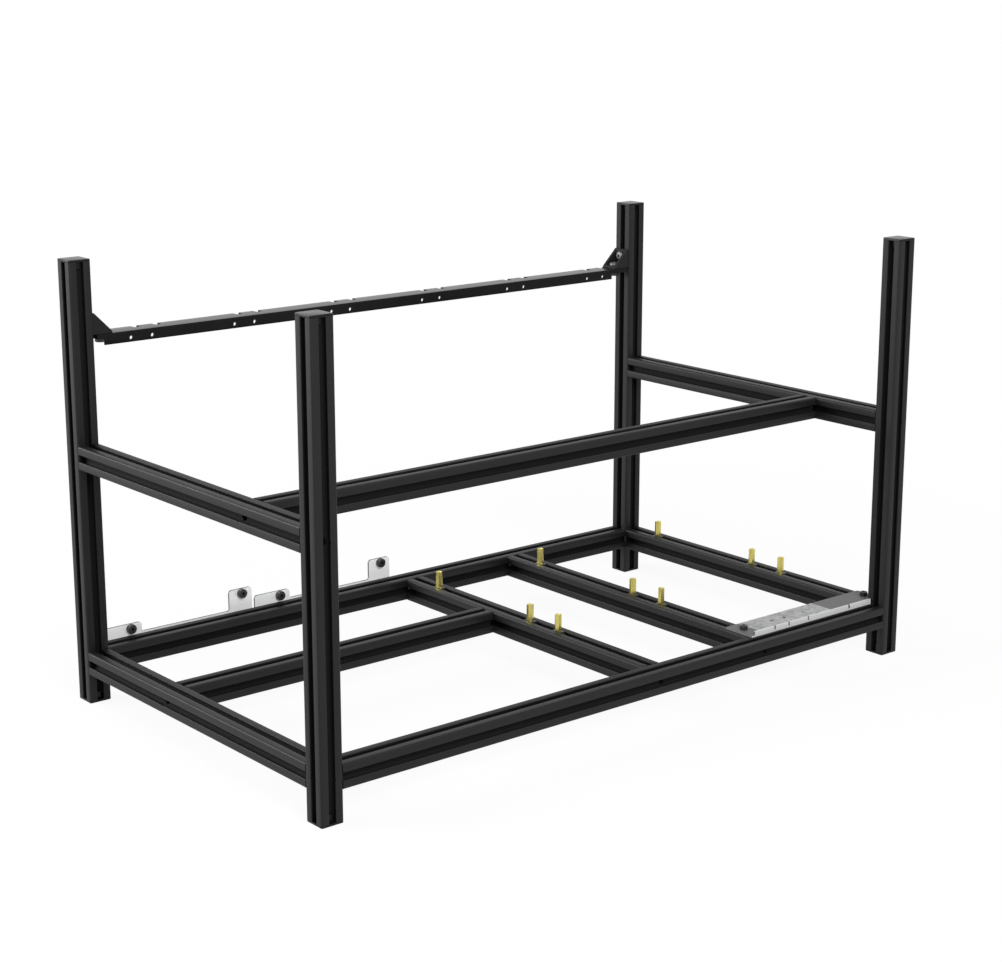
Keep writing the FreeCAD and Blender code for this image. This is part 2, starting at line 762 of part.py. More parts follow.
supply_screws = []
supply_nuts = []
thumb_screws = []
for start in supply_starts:
    for inset, rise in fixing_places:
        seat = point(start + inset, rear_face, bottom_top + rise)
        supply_nuts.append((seat, ALONG_Y, ALONG_X))
        supply_screws.append((seat + ALONG_Y * sheet_wall.number, ALONG_Y, ALONG_X))
    for inset, rise in thumb_places:
        thumb_screws.append((point(start + inset, rear_face, bottom_top + rise), -ALONG_Y, ALONG_X))
group("supply_bracket_screws", fixing_screw(sheet_wall + nut_depth), supply_screws)
group("supply_bracket_t_nuts", t_nut(fixing + thread), supply_nuts)
thumb_head = Part.makeCylinder(size("thumb_head").number / 2, size("thumb_head_height").number)
thumb_length = size("thumb_screw_length").number
thumb_screw = screw(size("thumb_screw").number, thumb_length, thumb_head, size("thumb_socket").number)
group("supply_thumb_screws", thumb_screw, thumb_screws)

tray_shank = size("tray_screw").number
tray_level = bottom_top + tray_wall
tray_places = [(crossbar_middle_x + x, tray_front + y) for x, y in tray_fixings]
tray_head = Part.makeCylinder(size("tray_head").number / 2, size("tray_head_height").number)
tray_screw = screw(tray_shank, (tray_wall + nut_depth).number, tray_head, size("tray_socket").number)
group("tray_plate_screws", tray_screw, [(point(x, y, tray_level), UP, ALONG_Y) for x, y in tray_places])
tray_nut = t_nut(tray_shank + thread)
group("tray_plate_t_nuts", tray_nut, [(point(x, y, bottom_top), UP, ALONG_Y) for x, y in tray_places])

doc.recompute()
for item in doc.Objects:
    if {"Invalid", "Error"} & set(item.State):
        raise RuntimeError(f"{item.Label}: {item.State}")
for piece in nodes:
    if piece.Shape.isNull() or not piece.Shape.isValid():
        raise RuntimeError(f"{piece.Label}: the shape is null or not valid")

os.makedirs("parts", exist_ok=True)
for piece in nodes:
    piece.Shape.exportStep(f"parts/{piece.Label}.step")
print(f"{len(nodes)} nodes, {sum(len(piece.Shape.Solids) for piece in nodes)} solids")
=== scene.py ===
from math import cos, pi, radians, sin, sqrt, tan

import bmesh
import bpy
from mathutils import Matrix, Vector


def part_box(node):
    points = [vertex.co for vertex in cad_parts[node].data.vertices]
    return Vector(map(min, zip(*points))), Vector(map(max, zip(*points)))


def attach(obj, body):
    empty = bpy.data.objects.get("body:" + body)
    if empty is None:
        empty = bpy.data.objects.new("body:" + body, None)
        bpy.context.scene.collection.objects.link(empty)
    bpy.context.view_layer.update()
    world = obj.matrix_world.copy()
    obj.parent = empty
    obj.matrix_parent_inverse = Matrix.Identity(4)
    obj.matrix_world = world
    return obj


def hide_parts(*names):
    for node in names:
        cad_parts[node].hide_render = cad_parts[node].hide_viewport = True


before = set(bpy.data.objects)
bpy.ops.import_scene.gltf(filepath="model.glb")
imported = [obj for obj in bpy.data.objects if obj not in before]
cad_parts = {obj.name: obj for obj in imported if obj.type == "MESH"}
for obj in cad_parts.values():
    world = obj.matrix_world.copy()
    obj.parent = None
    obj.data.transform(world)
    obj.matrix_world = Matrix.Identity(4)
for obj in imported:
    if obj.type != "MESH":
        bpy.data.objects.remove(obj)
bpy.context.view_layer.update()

# Posts, rails and beams: drawn aluminium bars, 20 mm square, with a T-slot down each side and a bore for
# the screw in each end. They are sawn to length, drilled where a key reaches through to the head of a
# blind screw, and anodised black, so the lines left by drawing still show faintly along each bar.
mm = 0.001
bar_half = 10 * mm
bar_corner = 1.5 * mm
bar_skin = 0.5 * mm
bore_radius = 2.5 * mm
bore_round = bore_radius - 0.001 * mm
core_half = 4 * mm
web_foot = 2.9 * mm
web_fillet = 0.4 * mm
slot_shoulder = 6.6 * mm
slot_room = 5.5 * mm
slot_ceiling = 8.2 * mm
slot_mouth = 3.1 * mm
slot_fillet = 0.3 * mm
slot_lip_inside = 0.25 * mm
slot_lip_outside = 0.45 * mm
small_radius = 0.5 * mm
seam_gap = 0.005 * mm
smooth_limit = radians(33)
key_hole_radius = 3.5 * mm
key_hole_reach = (6 * mm, 21 * mm)
black_dye = ((0.004, 0.004, 0.0044, 1), (0.009, 0.009, 0.0096, 1))
# The slot colours are darker than the dye, to paint the shade inside the slots and bores.
painted_slot_shade = ((0.003, 0.003, 0.0032, 1), (0.007, 0.007, 0.0074, 1))
bar_holders = {
    "bottom_rail_front": ("post_front_left", "post_front_right"),
    "bottom_rail_back": ("post_back_left", "post_back_right"),
    "bottom_rail_left": ("post_front_left", "post_back_left"),
    "bottom_rail_right": ("post_front_right", "post_back_right"),
    "middle_rail_left": ("post_front_left", "post_back_left"),
    "middle_rail_right": ("post_front_right", "post_back_right"),
    "card_beam": ("middle_rail_left", "middle_rail_right"),
    "board_crossbar_inner": ("bottom_rail_front", "bottom_rail_back"),
    "board_crossbar_middle": ("bottom_rail_front", "bottom_rail_back"),
    "power_supply_beam": ("bottom_rail_left", "board_crossbar_inner"),
}
posts = ["post_front_left", "post_front_right", "post_back_left", "post_back_right"]
lying_down = {0: Matrix.Rotation(pi / 2, 4, "Y"), 1: Matrix.Rotation(-pi / 2, 4, "X"), 2: Matrix.Identity(4)}


class Wire:
    """A socket of one material, so that shading is written as plain arithmetic."""

    def __init__(self, tree, socket):
        self.tree = tree
        self.socket = socket

    def feed(self, node, sockets):
        for name, value in sockets.items():
            if isinstance(value, Wire):
                self.tree.links.new(value.socket, node.inputs[name])
            else:
                node.inputs[name].default_value = value

    def node(self, kind, settings, sockets, output=0):
        """Adds a node: its settings first, then the values or links of its sockets."""
        made = self.tree.nodes.new(kind)
        for name, value in settings.items():
            setattr(made, name, value)
        self.feed(made, sockets)
        return Wire(self.tree, made.outputs[output])

    def math(self, operation, first, second):
        return self.node("ShaderNodeMath", {"operation": operation}, {0: first, 1: second})

    def __add__(self, other):
        return self.math("ADD", self, other)

    def __mul__(self, other):
        return self.math("MULTIPLY", self, other)

    __radd__ = __add__
    __rmul__ = __mul__

    def noise(self, grains, detail=2):
        """Noise on these coordinates, with so many grains to the metre, the same each way or one per axis."""
        scale = grains if isinstance(grains, tuple) else (grains, grains, grains)
        spread = self.node("ShaderNodeMapping", {}, {"Vector": self, "Scale": scale})
        return self.node("ShaderNodeTexNoise", {}, {"Vector": spread, "Scale": 1, "Detail": detail})

    def blend(self, first, second):
        """Goes from the first colour (socket 6) to the second (socket 7) with this value."""
        return self.node("ShaderNodeMix", {"data_type": "RGBA"}, {0: self, 6: first, 7: second}, output=2)

    def bump(self, depth):
        return self.node("ShaderNodeBump", {}, {"Height": self, "Distance": depth})


def start_finish(name):
    """A new material, its shader and the coordinates that its patterns follow."""
    finish = bpy.data.materials.new(name)
    finish.use_nodes = True
    tree = finish.node_tree
    coordinates = tree.nodes.new("ShaderNodeTexCoord")
    return finish, tree.nodes["Principled BSDF"], Wire(tree, coordinates.outputs["Object"])


def black_anodising(name, along):
    """Matt black dye over metal, with drawing lines that run along one axis."""
    finish, shader, place = start_finish(name)
    line_scale = [1400, 1400, 1400]
    line_scale[along] = 3
    lines = place.noise(tuple(line_scale), detail=3)
    cloud = place.noise(38, detail=4)
    pits = place.noise(5200, detail=1)
    place.feed(shader, {
        "Base Color": (0.55 * cloud + 0.45 * lines).blend(*black_dye),
        "Roughness": 0.34 + 0.14 * lines + 0.12 * cloud,
        "Specular IOR Level": 0.2,
        "Normal": (0.7 * lines + 0.3 * pits).bump(0.03 * mm),
    })
    return finish


def slot_painted_shade(name):
    """The inside of the slots and bores: a darker, duller black than the faces, which paints in the shade
    there.
    """
    finish, shader, place = start_finish(name)
    slot_mottle = place.noise(700, detail=4)
    place.feed(shader, {
        "Base Color": slot_mottle.blend(*painted_slot_shade),
        "Roughness": 0.62 + 0.2 * slot_mottle,
        "Specular IOR Level": 0.1,
        "Normal": slot_mottle.bump(0.03 * mm),
    })
    return finish


def rounded_outline(corners):
    """A flat face through corners given as (place, radius), each rounded by its radius."""
    form = bmesh.new()
    marks = [form.verts.new(place) for place, radius in corners]
    form.faces.new(marks)
    for mark, (place, radius) in zip(marks, corners):
        if radius:
            steps = 3 if radius < small_radius else 8
            bmesh.ops.bevel(form, geom=[mark], offset=radius, offset_type="OFFSET", segments=steps,
                            profile=0.5, affect="VERTICES", material=-1)
    return form


def pull_out(form, travel):
    """Draws the form's flat faces out into a closed solid."""
    pulled = bmesh.ops.extrude_face_region(form, geom=form.faces[:], use_keep_orig=True)
    moved = [part for part in pulled["geom"] if isinstance(part, bmesh.types.BMVert)]
    bmesh.ops.translate(form, verts=moved, vec=travel)
    bmesh.ops.recalc_face_normals(form, faces=form.faces)
    return form


def square_section():
    """The bar's cross-section as one flat ring in XY, made from a quarter of it."""
    half_slot = [
        (core_half, 0, 0), (core_half, web_foot, web_fillet), (slot_shoulder, slot_room, web_fillet),
        (slot_ceiling, slot_room, slot_fillet), (slot_ceiling, slot_mouth, slot_lip_inside),
        (bar_half, slot_mouth, slot_lip_outside),
    ]
    next_slot = [(y, x, radius) for x, y, radius in reversed(half_slot)]
    bore = [(0, bore_radius, 0), (bore_radius, bore_radius, bore_round), (bore_radius, 0, 0)]
    corners = half_slot + [(bar_half, bar_half, bar_corner)] + next_slot + bore
    form = rounded_outline([((x, y, 0), radius) for x, y, radius in corners])
    quarter = form.verts[:] + form.edges[:] + form.faces[:]
    bmesh.ops.spin(form, geom=quarter, axis=(0, 0, 1), cent=(0, 0, 0), angle=1.5 * pi, steps=3,
                   use_duplicate=True)
    bmesh.ops.remove_doubles(form, verts=form.verts, dist=seam_gap)
    return form


def drill(place, direction, radius, depth, steps=28):
    """A round cutter of that depth, with its middle at a place, lying along X, Y or Z (0, 1 or 2)."""
    form = bmesh.new()
    matrix = Matrix.Translation(place) @ lying_down[direction]
    bmesh.ops.create_cone(form, cap_ends=True, segments=steps, radius1=radius, radius2=radius, depth=depth,
                          matrix=matrix)
    return form


def join(forms):
    """Several forms as one, each left as it is."""
    joined = bmesh.new()
    for form in forms:
        mesh = bpy.data.meshes.new("joined")
        form.to_mesh(mesh)
        form.free()
        joined.from_mesh(mesh)
        bpy.data.meshes.remove(mesh)
    return joined


def trim(form, tool, operation="DIFFERENCE"):
    """Cuts a closed form with another one, or unites them or keeps what they share, as the operation says."""
    things = []
    for part in (form, tool):
        mesh = bpy.data.meshes.new("trim")
        part.to_mesh(mesh)
        things.append(bpy.data.objects.new("trim", mesh))
        bpy.context.scene.collection.objects.link(things[-1])
    step = things[0].modifiers.new("trim", "BOOLEAN")
    step.operation = operation
    step.solver = "EXACT"
    step.object = things[1]
    shaped = things[0].evaluated_get(bpy.context.evaluated_depsgraph_get()).to_mesh()
    form.clear()
    form.from_mesh(shaped)
    for thing in things:
        bpy.data.meshes.remove(thing.data)
    tool.free()
    return form


def piece(name, form, finishes, slot, *nodes):
    """Makes a finished form a piece of the frame, in place of its nodes."""
    mesh = bpy.data.meshes.new(name)
    form.to_mesh(mesh)
    form.free()
    mesh.shade_smooth()
    mesh.set_sharp_from_angle(angle=smooth_limit)
    for finish in finishes:
        mesh.materials.append(finish)
    made = bpy.data.objects.new(name, mesh)
    bpy.context.scene.collection.objects.link(made)
    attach(made, "root")
    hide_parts(*nodes)
    return made


def longest_axis(node):
    low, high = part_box(node)
    sides = list(high - low)
    return sides.index(max(sides))


key_drills = {}
for bar, holders in bar_holders.items():
    along = longest_axis(bar)
    low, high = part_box(bar)
    for holder, outward, end in zip(holders, (-1, 1), (low, high)):
        mouth = (low + high) / 2
        mouth[along] = end[along] + outward * sum(key_hole_reach) / 2
        depth = key_hole_reach[1] - key_hole_reach[0]
        key_drills.setdefault(holder, []).append(drill(mouth, along, key_hole_radius, depth, steps=40))

anodised = [black_anodising(f"black_anodised_{axis}", number) for number, axis in enumerate("xyz")]
slot_shade = slot_painted_shade("black_slot_painted_shade")
for bar in posts + list(bar_holders):
    along = longest_axis(bar)
    low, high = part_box(bar)
    form = pull_out(square_section(), (0, 0, high[along] - low[along]))
    # Faces inside the slots and the bore get the darker slot finish, which is painted shade.
    for wall in form.faces:
        reach = max(abs(wall.calc_center_median().x), abs(wall.calc_center_median().y))
        if abs(wall.normal.z) < 0.5 and reach < bar_half - bar_skin:
            wall.material_index = 1
    start = (low + high) / 2
    start[along] = low[along]
    bmesh.ops.transform(form, matrix=Matrix.Translation(start) @ lying_down[along], verts=form.verts)
    if bar in key_drills:
        trim(form, join(key_drills[bar]))
    piece(f"{bar}_drawn", form, (anodised[along], slot_shade), "black_anodised", bar)

# Joint screws: zinc-plated button heads that bear under the lips of one bar and turn into the end bore of
# the next. They sit deep in the slots, and only a glint of each socket shows down its key hole.
zinc_shades = ((0.09, 0.092, 0.096, 1), (0.18, 0.182, 0.188, 1))


def zinc_plating(name):
    """Dull zinc on steel, faintly cloudy."""
    finish, shader, place = start_finish(name)
    cloud = place.noise(260, detail=4)
    grain = place.noise(3600, detail=2)
    place.feed(shader, {
        "Base Color": cloud.blend(*zinc_shades),
        "Roughness": 0.42 + 0.2 * cloud,
        "Metallic": 1.0,
        "Normal": grain.bump(0.012 * mm),
    })
    return finish


def refinish(node, finish):
    """Gives a node of the frame its finish, with the node's own shape kept."""
    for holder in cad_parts[node].material_slots:
        holder.material = finish


zinc = zinc_plating("zinc_plate")
refinish("joint_screws", zinc)

# End caps: black moulded plates that close both ends of each post, pushed in on four tongues. The outer
# rim is rounded, and the caps at the feet have a hole in line with the post's bore for a screw-in foot.
cap_plate = 2 * mm
cap_corner = 1.5 * mm
cap_rim = 0.6 * mm
cap_hole = 2.5 * mm
tongue_size = (5.8 * mm, 2.4 * mm)
tongue_length = 6 * mm
tongue_root = 0.5 * mm
tongue_middle = 5.4 * mm
tongue_taper = 0.86
cap_black = ((0.003, 0.003, 0.0032, 1), (0.006, 0.006, 0.0063, 1))


def moulded_black(name):
    """Black moulded plastic with a satin shine and the faint grain of its mould."""
    finish, shader, place = start_finish(name)
    texture = place.noise(2300, detail=3)
    flow = place.noise(90, detail=2)
    place.feed(shader, {
        "Base Color": flow.blend(*cap_black),
        "Roughness": 0.2 + 0.12 * texture,
        "Specular IOR Level": 0.15,
        "Normal": texture.bump(0.01 * mm),
    })
    return finish


def block(size, middle):
    """A box of that size about its middle."""
    form = bmesh.new()
    bmesh.ops.create_cube(form, size=1, matrix=Matrix.Translation(middle) @ Matrix.Diagonal((*size, 1)))
    return form


def round_edges(form, edges, radius, steps):
    bmesh.ops.bevel(form, geom=edges, offset=radius, offset_type="OFFSET", segments=steps, profile=0.5,
                    affect="EDGES", material=-1)


def end_cap(hole):
    """A cap with its plate above the origin and its tongues below it, drilled where it has a hole."""
    square = [((x * bar_half, y * bar_half, 0), cap_corner) for x, y in ((-1, -1), (1, -1), (1, 1), (-1, 1))]
    plate = pull_out(rounded_outline(square), (0, 0, cap_plate))
    rim = [edge for edge in plate.edges if all(vert.co.z > cap_plate / 2 for vert in edge.verts)]
    round_edges(plate, rim, cap_rim, steps=4)
    if hole:
        trim(plate, drill((0, 0, cap_plate / 2), 2, hole, 2 * cap_plate, steps=40))
    tongues = []
    for turn in range(4):
        middle = (0, tongue_middle, (tongue_root - tongue_length) / 2)
        tongue = block((*tongue_size, tongue_root + tongue_length), middle)
        tip = [vert for vert in tongue.verts if vert.co.z < 0]
        about = Matrix.Translation((0, -tongue_middle, 0))
        bmesh.ops.scale(tongue, vec=(tongue_taper, tongue_taper, 1), space=about, verts=tip)
        quarter_turns = Matrix.Rotation(turn * pi / 2, 3, "Z")
        bmesh.ops.rotate(tongue, cent=(0, 0, 0), matrix=quarter_turns, verts=tongue.verts)
        tongues.append(tongue)
    return trim(plate, join(tongues), "UNION")


cap_finish = moulded_black("black_cap")
for post in posts:
    for kind, hole, turn in (("post_cap", 0, 0), ("foot_cap", cap_hole, pi)):
        node = post.replace("post", kind)
        low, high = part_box(node)
        seat = (low + high) / 2
        seat.z = high.z - cap_plate if turn == 0 else low.z + cap_plate
        form = end_cap(hole)
        upright = Matrix.Rotation(turn, 4, "X")
        bmesh.ops.transform(form, matrix=Matrix.Translation(seat) @ upright, verts=form.verts)
        piece(f"{node}_moulded", form, [cap_finish], "black_cap", node)

# Standoffs: brass hex pillars, parted off a bar with both ends chamfered on the lathe and the top tapped.
# Each stud turns into a blackened T-nut in the slot below, so nine of them carry the board on three bars.
standoff_height = 15 * mm
standoff_across = 5.5 * mm
standoff_bore = 1.25 * mm
standoff_bore_depth = 9 * mm
standoff_pitch = 0.5 * mm
bore_countersink = 0.35 * mm
bore_flare = 0.4 * mm
bore_thread = 0.24 * mm
drill_point = 0.6 * mm
cut_margin = 0.05 * mm
turning_margin = 0.1 * mm
turning_angle = radians(30)
axis_gap = 0.0005 * mm
thread_share = 0.6
thread_neck = 0.3 * mm
stud_radius = 1.5 * mm
stud_length = 4.6 * mm
board_rows = (0, -132.08 * mm, -170.18 * mm)
standoff_turns = (11, 52, 29, 5, 40, 17, 34, 23, 48)
brass_shades = ((0.55, 0.46, 0.12, 1), (0.70, 0.63, 0.20, 1))
oxide_black = ((0.018, 0.018, 0.019, 1), (0.040, 0.040, 0.042, 1))


def turned_brass(name):
    """Brass with the fine rings that a lathe leaves and a little tarnish."""
    finish, shader, place = start_finish(name)
    rings = place.noise((240, 240, 5200), detail=1)
    tarnish = place.noise(420, detail=4)
    place.feed(shader, {
        "Base Color": tarnish.blend(*brass_shades),
        "Roughness": 0.22 + 0.2 * tarnish,
        "Metallic": 1.0,
        "Normal": rings.bump(0.01 * mm),
    })
    return finish


def black_oxide(name):
    """Black oxide on steel, oiled, so it keeps a dark metal sheen."""
    finish, shader, place = start_finish(name)
    cloud = place.noise(500, detail=4)
    place.feed(shader, {
        "Base Color": cloud.blend(*oxide_black),
        "Roughness": 0.24 + 0.18 * cloud,
        "Metallic": 0.35,
        "Specular IOR Level": 0.4,
        "Normal": cloud.bump(0.01 * mm),
    })
    return finish


def lathe(profile, steps=40):
    """Turns a half profile, a list of (radius, height), into a solid about Z."""
    form = bmesh.new()
    points = [form.verts.new((radius, 0, height)) for radius, height in profile]
    lines = [form.edges.new(pair) for pair in zip(points, points[1:])]
    bmesh.ops.spin(form, geom=points + lines, axis=(0, 0, 1), cent=(0, 0, 0), angle=2 * pi, steps=steps,
                   use_merge=True)
    bmesh.ops.remove_doubles(form, verts=form.verts, dist=axis_gap)
    bmesh.ops.recalc_face_normals(form, faces=form.faces)
    return form


def hexagon(across, height, base=0.0):
    """A plain hexagon bar that stands on a height."""
    form = bmesh.new()
    bmesh.ops.create_circle(form, cap_ends=True, segments=6, radius=across / sqrt(3),
                            matrix=Matrix.Translation((0, 0, base)))
    return pull_out(form, (0, 0, height))


def turned_hexagon(across, height):
    """A length of hexagon bar with its corners turned down at both ends."""
    flat = across / 2 - turning_margin
    corner = across / sqrt(3) + turning_margin
    slope = (corner - flat) * tan(turning_angle)
    lower_end = [(0, 0), (flat, 0), (corner, slope)]
    upper_end = [(corner, height - slope), (flat, height), (0, height)]
    barrel = lathe(lower_end + upper_end)
    return trim(hexagon(across, height), barrel, "INTERSECT")


def thread(radius, low, high, pitch, depth):
    """The zigzag of a screw thread from one height to another."""
    turns = int(abs(high - low) / pitch)
    rise = (high - low) / turns
    crests = [(radius, low + rise * turn) for turn in range(turns + 1)]
    roots = [(radius - depth, low + rise * (turn + 0.5)) for turn in range(turns)]
    return [point for pair in zip(crests, roots) for point in pair] + crests[-1:]


def shank(radius, length, pitch):
    """A threaded shank that hangs from the origin, with its root in the head above and a blunt end."""
    depth = thread_share * pitch
    line = [(0, -length), (radius - depth, -length)]
    line += thread(radius, thread_neck - length, -thread_neck, pitch, depth)
    line += [(radius, thread_neck), (0, thread_neck)]
    return lathe(line, steps=24)


def repeat(pattern, places):
    """Copies of one form at each place, as one form."""
    copies = []
    for place in places:
        copy = pattern.copy()
        bmesh.ops.transform(copy, matrix=place, verts=copy.verts)
        copies.append(copy)
    pattern.free()
    return join(copies)


brass = turned_brass("brass")
oxide = black_oxide("black_screw")
bore_floor = standoff_height - standoff_bore_depth
bore_neck = standoff_height - bore_countersink
bore_mouth = (standoff_bore + bore_flare, standoff_height + cut_margin)
bore_line = thread(standoff_bore + bore_thread / 2, bore_floor, bore_neck, standoff_pitch, bore_thread)
tap = lathe([(0, bore_floor - drill_point)] + bore_line + [bore_mouth, (0, bore_mouth[1])], steps=24)
pillar = trim(turned_hexagon(standoff_across, standoff_height), tap)
low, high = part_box("board_standoffs")
board_back = Vector((0, high.y - standoff_across / 2, high.z - standoff_height))
places = []
for bar in ("board_crossbar_inner", "board_crossbar_middle", "bottom_rail_right"):
    bar_low, bar_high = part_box(bar)
    column = (bar_low.x + bar_high.x) / 2
    places += [Matrix.Translation(board_back + Vector((column, row, 0))) for row in board_rows]
places = [place @ Matrix.Rotation(radians(turn), 4, "Z") for place, turn in zip(places, standoff_turns)]
standoff = trim(pillar, shank(stud_radius, stud_length, standoff_pitch), "UNION")
piece("standoff_pillars", repeat(standoff, places), [brass], "brass", "board_standoffs")
refinish("standoff_t_nuts", oxide)

# Card bar: a drawn steel angle, painted black, across the back of the frame. Two holes in its lip and two
# open notches in its flange take the screws of each card, and the lip is cut back beside the end nuts.
flange_wall = 4 * mm
lip_wall = 2 * mm
lip_edge = 0.3 * mm
flange_edge = 0.4 * mm
angle_corner = 0.8 * mm
lip_end_cuts = (7 * mm, 20 * mm)
card_count = 6
card_pitch = 102 * mm
card_pair = 10.16 * mm
card_hole = 1.6 * mm
card_hole_rise = 3.6 * mm
notch_shift = 13.3 * mm
notch_half = 3 * mm
notch_round = 0.999 * notch_half
notch_depth = 8 * mm
bracket_hole = 2.75 * mm
bracket_hole_inset = 8 * mm
overshoot = 1 * mm
paint_black = ((0.003, 0.003, 0.003, 1), (0.006, 0.006, 0.006, 1))


def gloss_paint(name):
    """Black stove paint, smooth enough to mirror the room at a low angle, with a slight orange peel."""
    finish, shader, place = start_finish(name)
    peel = place.noise(620, detail=2)
    cloud = place.noise(45, detail=3)
    place.feed(shader, {
        "Base Color": cloud.blend(*paint_black),
        "Roughness": 0.16 + 0.1 * peel,
        "Specular IOR Level": 0.1,
        "Normal": peel.bump(0.015 * mm),
    })
    return finish


low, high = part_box("card_bar")
underside = high.z - flange_wall
section = [
    ((low.x, low.y, low.z), lip_edge), ((low.x, low.y + lip_wall, low.z), lip_edge),
    ((low.x, low.y + lip_wall, underside), flange_edge), ((low.x, high.y, underside), flange_edge),
    ((low.x, high.y, high.z), flange_edge), ((low.x, low.y, high.z), angle_corner),
]
form = pull_out(rounded_outline(section), (high.x - low.x, 0, 0))
cutters = []
for middle in [(number - (card_count - 1) / 2) * card_pitch for number in range(card_count)]:
    for x in (middle - card_pair, middle + card_pair):
        cutters.append(drill((x, low.y, low.z + card_hole_rise), 1, card_hole, 3 * lip_wall))
        left, right = x + notch_shift - notch_half, x + notch_shift + notch_half
        notch = [
            ((left, high.y - notch_depth, underside - overshoot), notch_round),
            ((right, high.y - notch_depth, underside - overshoot), notch_round),
            ((right, high.y + overshoot, underside - overshoot), 0),
            ((left, high.y + overshoot, underside - overshoot), 0),
        ]
        cutters.append(pull_out(rounded_outline(notch), (0, 0, flange_wall + 2 * overshoot)))
for end, sign, cut in zip((low.x, high.x), (1, -1), lip_end_cuts):
    hole = (end + sign * bracket_hole_inset, (low.y + high.y) / 2, high.z)
    cutters.append(drill(hole, 2, bracket_hole, 3 * flange_wall))
    cut_size = (cut + overshoot, lip_wall + 2 * overshoot, underside - low.z + overshoot)
    cut_middle = (end + sign * (cut - overshoot) / 2, low.y + lip_wall / 2, underside - cut_size[2] / 2)
    cutters.append(block(cut_size, cut_middle))
trim(form, join(cutters))
piece("card_angle", form, [gloss_paint("black_bar")], "black_bar", "card_bar")

# Corner brackets: black die-cast angles with two thin triangular webs, which stand the card bar off the
# back posts. Their edges are rounded as a die leaves them, and zinc-plated screws lie between the webs.
casting_leg = 18 * mm
casting_toe = 1.5 * mm
casting_wall = 2.5 * mm
casting_web = 2.5 * mm
casting_width = 18 * mm
casting_hole_offset = 11 * mm
casting_fillet = 1 * mm
casting_edge = 0.35 * mm
sharp_limit = radians(50)
fixing_hole = 2.75 * mm
casting_black = ((0.005, 0.005, 0.005, 1), (0.011, 0.011, 0.011, 1))


def painted_casting(name):
    """Black paint over a slightly rough casting."""
    finish, shader, place = start_finish(name)
    skin = place.noise(900, detail=4)
    cloud = place.noise(120, detail=3)
    place.feed(shader, {
        "Base Color": (0.5 * skin + 0.5 * cloud).blend(*casting_black),
        "Roughness": 0.36 + 0.2 * skin,
        "Specular IOR Level": 0.14,
        "Normal": skin.bump(0.08 * mm),
    })
    return finish


def break_edges(made, width, steps):
    """Rounds the sharp edges of a finished piece."""
    soften = made.modifiers.new("broken_edges", "BEVEL")
    soften.width = width
    soften.segments = steps
    soften.limit_method = "ANGLE"
    soften.angle_limit = sharp_limit


casting = painted_casting("black_casting")
for side, turn in (("left", 0), ("right", pi)):
    node = f"corner_bracket_{side}"
    low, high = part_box(node)
    web = [(0, 0), (casting_leg, 0), (casting_leg, casting_toe), (casting_toe, casting_leg), (0, casting_leg)]
    form = pull_out(rounded_outline([((x, -casting_width / 2, z), 0) for x, z in web]), (0, casting_width, 0))
    room_middle = casting_wall + casting_leg / 2
    room = block((casting_leg, casting_width - 2 * casting_web, casting_leg), (room_middle, 0, room_middle))
    round_edges(room, room.edges[:], casting_fillet, steps=3)
    trim(form, room)
    foot_drill = drill((casting_hole_offset, 0, casting_wall / 2), 2, fixing_hole, 2 * casting_wall)
    leg_drill = drill((casting_wall / 2, 0, casting_hole_offset), 0, fixing_hole, 2 * casting_wall)
    trim(form, join([foot_drill, leg_drill]))
    seat = Matrix.Translation((low.x if side == "left" else high.x, (low.y + high.y) / 2, low.z))
    bmesh.ops.transform(form, matrix=seat @ Matrix.Rotation(turn, 4, "Z"), verts=form.verts)
    break_edges(piece(f"{node}_cast", form, [casting], "black_casting", node), casting_edge, steps=3)

# Fixing screws: zinc-plated button heads with a hexagon socket, through the corner brackets into a T-nut
# in the post and a blackened nut under the card bar, and through the supply brackets into the back rail.
head_radius = 4.5 * mm
head_height = 2.7 * mm
head_crown = 1.9 * mm
head_flat = 2.1 * mm
head_foot = (0.15 * mm, 0.2 * mm)
crown_steps = 10
socket_across = 3 * mm
socket_depth = 1.6 * mm
fixing_radius = 2.5 * mm
fixing_pitch = 0.8 * mm
post_screw_length = 7.3 * mm
bar_screw_length = 10.5 * mm
nut_across = 8 * mm
nut_bore = 2.55 * mm


def button_screw(length):
    """A round head above the seat at the origin and a threaded shank below it."""
    edge = head_height - head_crown
    line = [(0, 0), (head_radius - head_foot[0], 0), (head_radius, head_foot[1])]
    for angle in (radians(90 * step / crown_steps) for step in range(crown_steps + 1)):
        line.append((head_flat + (head_radius - head_flat) * cos(angle), edge + head_crown * sin(angle)))
    socket = hexagon(socket_across, head_height, head_height - socket_depth)
    head = trim(lathe(line + [(0, head_height)]), socket)
    return trim(head, shank(fixing_radius, length, fixing_pitch), "UNION")


def pointing(place, axis, sign):
    """A frame at a place whose Z points along X, Y or Z (0, 1 or 2), forwards or backwards."""
    way = Vector((0, 0, 0))
    way[axis] = sign
    return Matrix.Translation(place) @ way.to_track_quat("Z", "Y").to_matrix().to_4x4()


